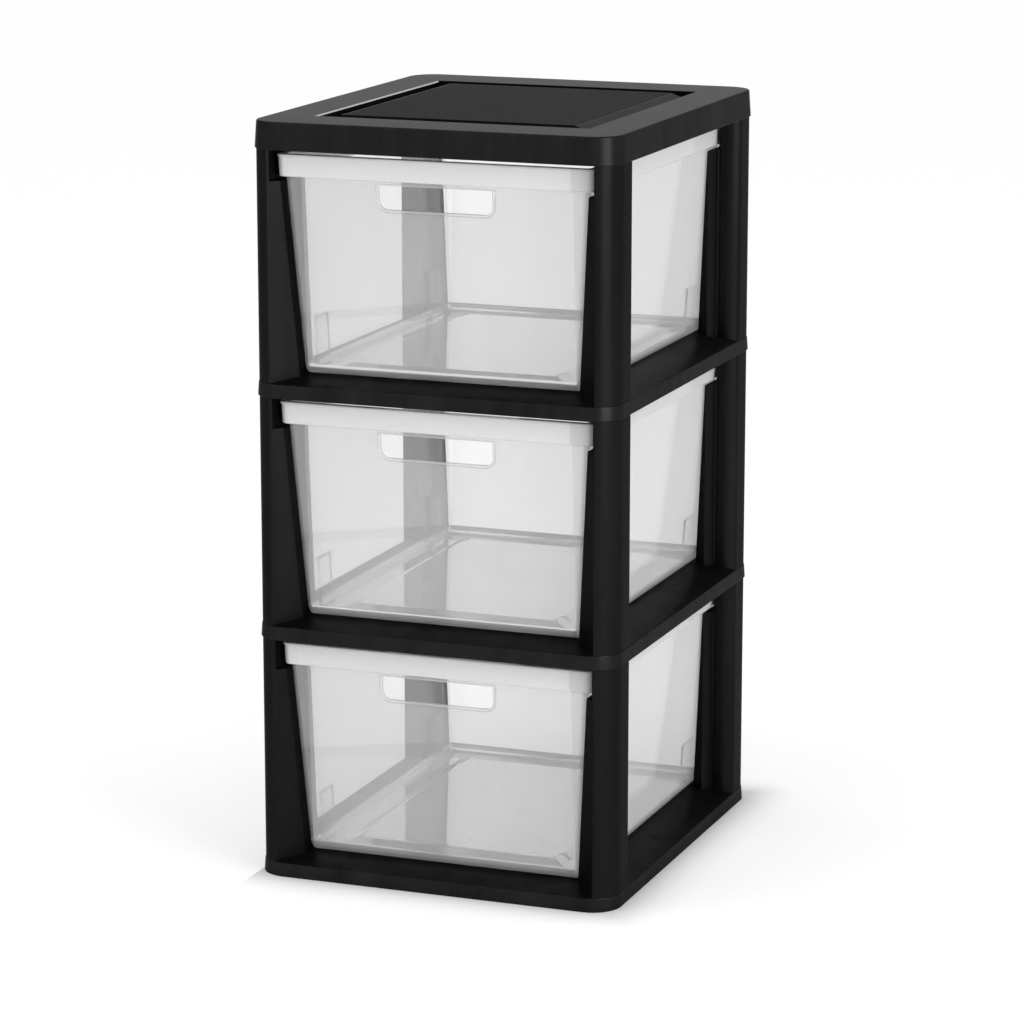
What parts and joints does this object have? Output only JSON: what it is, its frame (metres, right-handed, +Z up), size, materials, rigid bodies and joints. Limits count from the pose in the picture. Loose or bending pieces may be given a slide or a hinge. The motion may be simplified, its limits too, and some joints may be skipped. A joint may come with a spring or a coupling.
{
  "type": "plastic drawer tower",
  "caption": "Free-standing storage tower: black plastic posts and shelf frames under a flat cover, with clear tapered drawers that pull out at the front.",
  "frame": {"origin": "middle of the footprint, on the underside of the base", "axes": "+X to the tower's right seen from the front, -Y out of the drawer fronts, +Z up"},
  "size_m": [0.3206, 0.3778, 0.6414],
  "materials": {
    "black_plastic": "smooth moulded plastic, satin",
    "clear_plastic": "clear moulded plastic, slightly frosted inside"
  },
  "bodies": {
    "cabinet": {"top_cover": "black_plastic", "upper_shelf": "black_plastic", "lower_shelf": "black_plastic", "base_frame": "black_plastic", "post_top_front_left": "black_plastic", "post_top_front_right": "black_plastic", "post_top_rear_left": "black_plastic", "post_top_rear_right": "black_plastic", "post_middle_front_left": "black_plastic", "post_middle_front_right": "black_plastic", "post_middle_rear_left": "black_plastic", "post_middle_rear_right": "black_plastic", "post_bottom_front_left": "black_plastic", "post_bottom_front_right": "black_plastic", "post_bottom_rear_left": "black_plastic", "post_bottom_rear_right": "black_plastic"},
    "drawer_top": {"drawer_top": "clear_plastic"},
    "drawer_middle": {"drawer_middle": "clear_plastic"},
    "drawer_bottom": {"drawer_bottom": "clear_plastic"}
  },
  "joints": [
    {"name": "drawer_top_slide", "type": "slide", "parent": "cabinet", "child": "drawer_top", "axis": [0, -1, 0], "range_m": [0, 0.26]},
    {"name": "drawer_middle_slide", "type": "slide", "parent": "cabinet", "child": "drawer_middle", "axis": [0, -1, 0], "range_m": [0, 0.26]},
    {"name": "drawer_bottom_slide", "type": "slide", "parent": "cabinet", "child": "drawer_bottom", "axis": [0, -1, 0], "range_m": [0, 0.26]}
  ]
}
